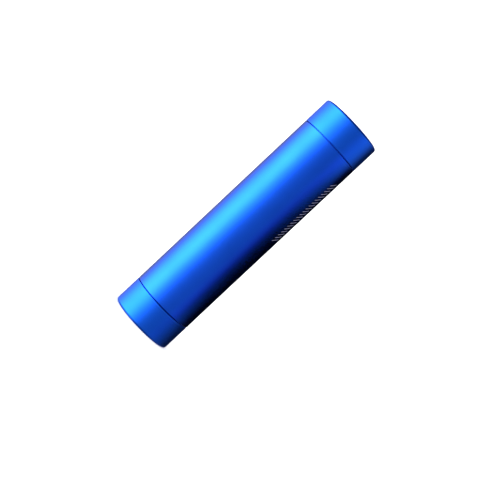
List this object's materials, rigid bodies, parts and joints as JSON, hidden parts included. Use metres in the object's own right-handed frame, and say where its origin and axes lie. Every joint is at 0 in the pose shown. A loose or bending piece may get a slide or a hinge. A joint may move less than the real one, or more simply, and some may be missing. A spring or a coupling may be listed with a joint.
{
  "type": "cylindrical power bank",
  "caption": "Slim aluminium cylinder holding one lithium cell, with a screw tail cap and a port end that has charging sockets, a push button and a light.",
  "frame": {"origin": "centre of the tail cap's end face, which the part stands on", "axes": "+Z along the cylinder from the tail cap to the port end, -Y on the side of the small socket and the button, +X to the right when the small socket faces the viewer"},
  "size_m": [0.022, 0.022, 0.0918],
  "materials": {
    "anodised_blue": "satin anodised",
    "anodised_silver": "satin anodised",
    "black_plastic": "fine texture",
    "white_plastic": "smooth",
    "clear_plastic": "polished",
    "rubber": "matte",
    "foam": "matte",
    "steel": "satin",
    "nickel": "bright",
    "gold": "bright",
    "copper": "enamelled wire",
    "board": "solder mask",
    "ferrite": "matte",
    "ceramic": "satin",
    "sleeve": "gloss film",
    "paper": "card",
    "electrode": "wound foil"
  },
  "bodies": {
    "cap": {"tail_cap": "anodised_blue"},
    "spring": {"contact_plate": "nickel", "contact_spring": "nickel"},
    "tube": {"body_tube": "anodised_blue", "port_collar": "anodised_blue", "port_face": "black_plastic", "board_cradle": "black_plastic", "micro_usb_insert": "black_plastic", "boost_chip": "black_plastic", "charger_chip": "black_plastic", "cell_gasket": "white_plastic", "usb_a_insert": "white_plastic", "charge_led": "white_plastic", "light_pipe": "clear_plastic", "neck_o_ring": "rubber", "cell_pad": "foam", "cell_can": "steel", "centre_pin": "steel", "vent_disc": "steel", "usb_a_shell": "steel", "micro_usb_shell": "steel", "switch_body": "steel", "cell_lead_tab": "nickel", "cell_positive_cap": "nickel", "positive_contact": "nickel", "ground_contact": "nickel", "usb_a_contact_1": "gold", "usb_a_contact_2": "gold", "usb_a_contact_3": "gold", "usb_a_contact_4": "gold", "micro_usb_contact_1": "gold", "micro_usb_contact_2": "gold", "micro_usb_contact_3": "gold", "micro_usb_contact_4": "gold", "micro_usb_contact_5": "gold", "inductor_winding": "copper", "circuit_board": "board", "inductor_core": "ferrite", "input_capacitor": "ceramic", "output_capacitor": "ceramic", "cell_sleeve": "sleeve", "cell_bottom_insulator": "paper", "cell_top_insulator": "paper", "cell_insulator_ring": "paper", "electrode_roll": "electrode"},
    "button": {"power_button": "anodised_silver", "switch_plunger": "white_plastic"}
  },
  "joints": [
    {"name": "cap_turn", "type": "hinge", "parent": "cap", "child": "spring", "pos_m": [0, 0, 0.005], "axis": [0, 0, 1], "range_deg": [0, 1531]},
    {"name": "tube_rise", "type": "slide", "parent": "spring", "child": "tube", "axis": [0, 0, 1], "range_m": [0, 0.00425], "deforming": ["contact_spring"]},
    {"name": "button_press", "type": "slide", "parent": "tube", "child": "button", "axis": [0, 0, -1], "range_m": [0, 0.0003], "stiffness_N_per_m": 600}
  ],
  "couplings": [
    {"joint": "cap_turn", "follows": "tube_rise", "rad_per_m": 6283.2}
  ]
}
